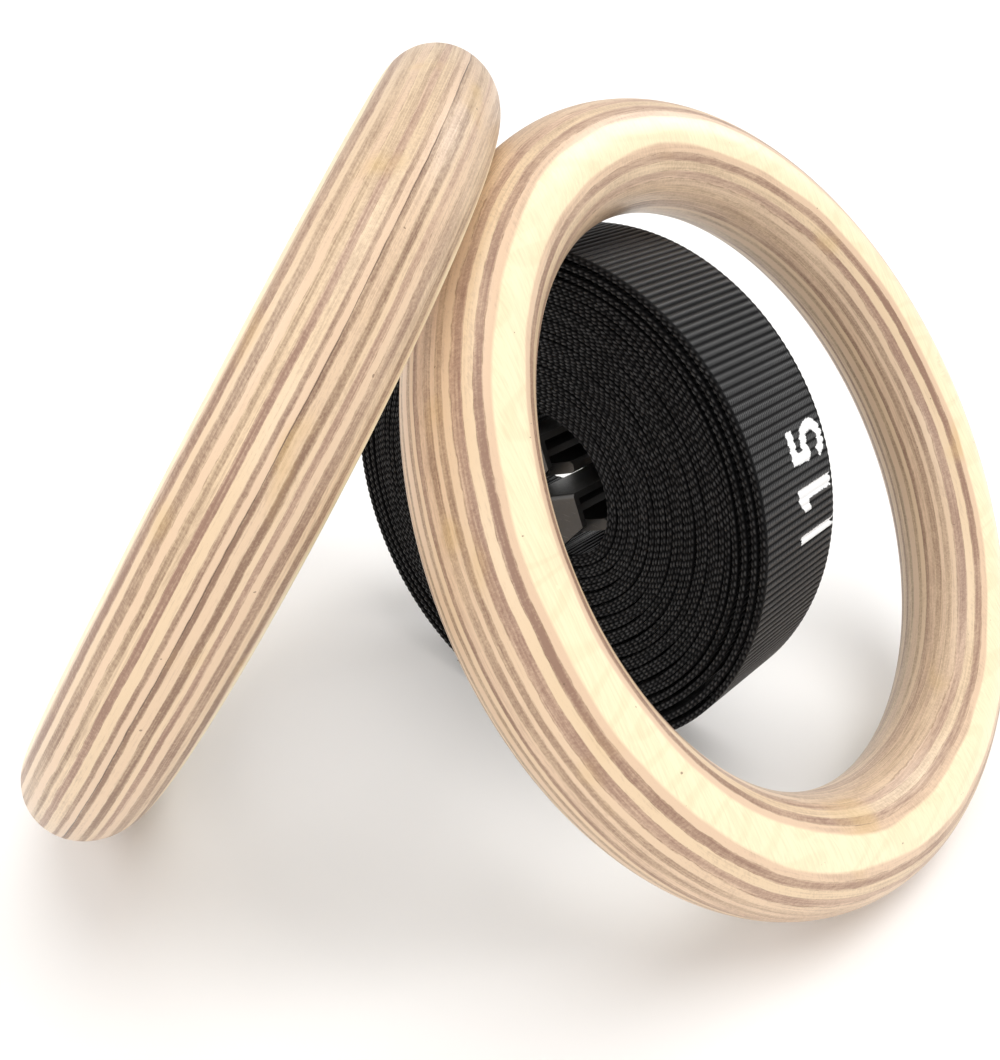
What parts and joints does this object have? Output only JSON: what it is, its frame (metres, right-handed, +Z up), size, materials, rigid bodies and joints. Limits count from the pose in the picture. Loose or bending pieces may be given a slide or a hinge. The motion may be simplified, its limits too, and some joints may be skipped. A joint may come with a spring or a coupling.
{
  "type": "gymnastics rings",
  "caption": "Round wooden gymnastics rings leaning on a standing roll of their webbing straps, with spring cam buckles in the roll's core.",
  "frame": {"origin": "on the floor under the middle of the group's bounding box", "axes": "+Z up, +Y along the roll's axis toward its back face, so the roll's front face looks toward -Y; +X to the right as seen from the front"},
  "size_m": [0.2764, 0.3056, 0.2107],
  "materials": {
    "birch_plywood": "satin lacquer over laminated birch",
    "webbing": "ribbed black webbing",
    "thread": "black bonded thread",
    "zinc": "dark satin plated zinc",
    "pin_steel": "turned steel",
    "spring_steel": "drawn spring wire"
  },
  "bodies": {
    "strap_roll": {"strap_a": "webbing", "strap_b": "webbing", "stitching_a": "thread", "stitching_b": "thread", "buckle_frame_a": "zinc", "buckle_frame_b": "zinc", "pivot_pin_a": "pin_steel", "pivot_pin_b": "pin_steel", "cam_spring_a": "spring_steel", "cam_spring_b": "spring_steel"},
    "ring_a": {"ring_a": "birch_plywood"},
    "ring_b": {"ring_b": "birch_plywood"},
    "cam_lever_a": {"cam_lever_a": "zinc"},
    "cam_lever_b": {"cam_lever_b": "zinc"}
  },
  "joints": [
    {"name": "ring_a_away", "type": "slide", "parent": "strap_roll", "child": "ring_a", "axis": [-0.6594, -0.5834, 0.4741], "range_m": [0, 0.3]},
    {"name": "ring_b_away", "type": "slide", "parent": "strap_roll", "child": "ring_b", "axis": [0.891, 0, 0.454], "range_m": [0, 0.3]},
    {"name": "cam_lever_a_press", "type": "hinge", "parent": "strap_roll", "child": "cam_lever_a", "pos_m": [0.00903, 0.02694, 0.07404], "axis": [0, -1, 0], "range_deg": [0, 13], "stiffness_Nm_per_rad": 0.25, "springref_deg": -20.05},
    {"name": "cam_lever_b_press", "type": "hinge", "parent": "strap_roll", "child": "cam_lever_b", "pos_m": [-0.00508, 0.02694, 0.08776], "axis": [0, -1, 0], "range_deg": [0, 13], "stiffness_Nm_per_rad": 0.25, "springref_deg": -20.05}
  ]
}
